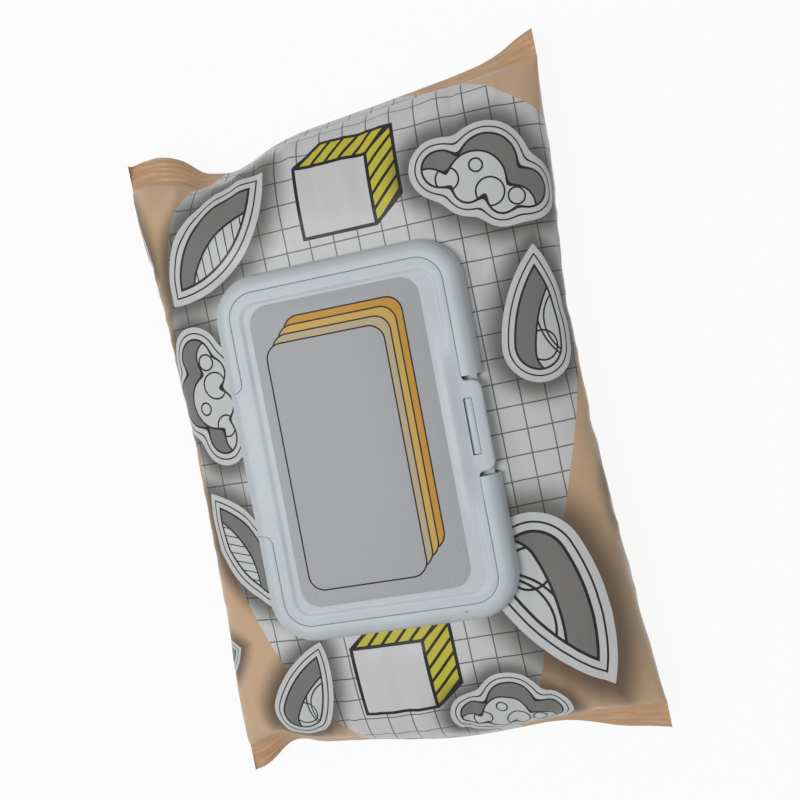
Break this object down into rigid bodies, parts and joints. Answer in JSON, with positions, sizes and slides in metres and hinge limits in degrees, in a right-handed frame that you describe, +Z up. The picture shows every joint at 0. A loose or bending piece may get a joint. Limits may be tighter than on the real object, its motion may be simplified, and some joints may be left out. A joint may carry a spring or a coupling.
{
  "type": "wet wipes pack",
  "caption": "Sealed flow-wrap pouch of wet wipes lying on its back, with a moulded flip-top lid glued over its dispensing window.",
  "frame": {"origin": "on the surface that the pack lies on, under the middle of its outline", "axes": "+X across the pack towards the lid's latch, +Y along the pack, +Z up out of the lid"},
  "size_m": [0.1242, 0.194, 0.0331],
  "materials": {
    "printed_film": "satin laminated film, printed with a thin grid and flat colour fields",
    "lid_plastic": "satin moulded polypropylene",
    "label_paper": "matt printed sticker",
    "peel_film": "glossy peel label"
  },
  "bodies": {
    "pack": {"film_pouch": "printed_film", "lid_frame": "lid_plastic", "peel_seal": "peel_film"},
    "flip_lid": {"lid": "lid_plastic", "lid_label": "label_paper"}
  },
  "joints": [
    {"name": "lid_hinge", "type": "hinge", "parent": "pack", "child": "flip_lid", "pos_m": [-0.0367, -0.004, 0.0291], "axis": [0, -1, 0], "range_deg": [0, 150]}
  ]
}
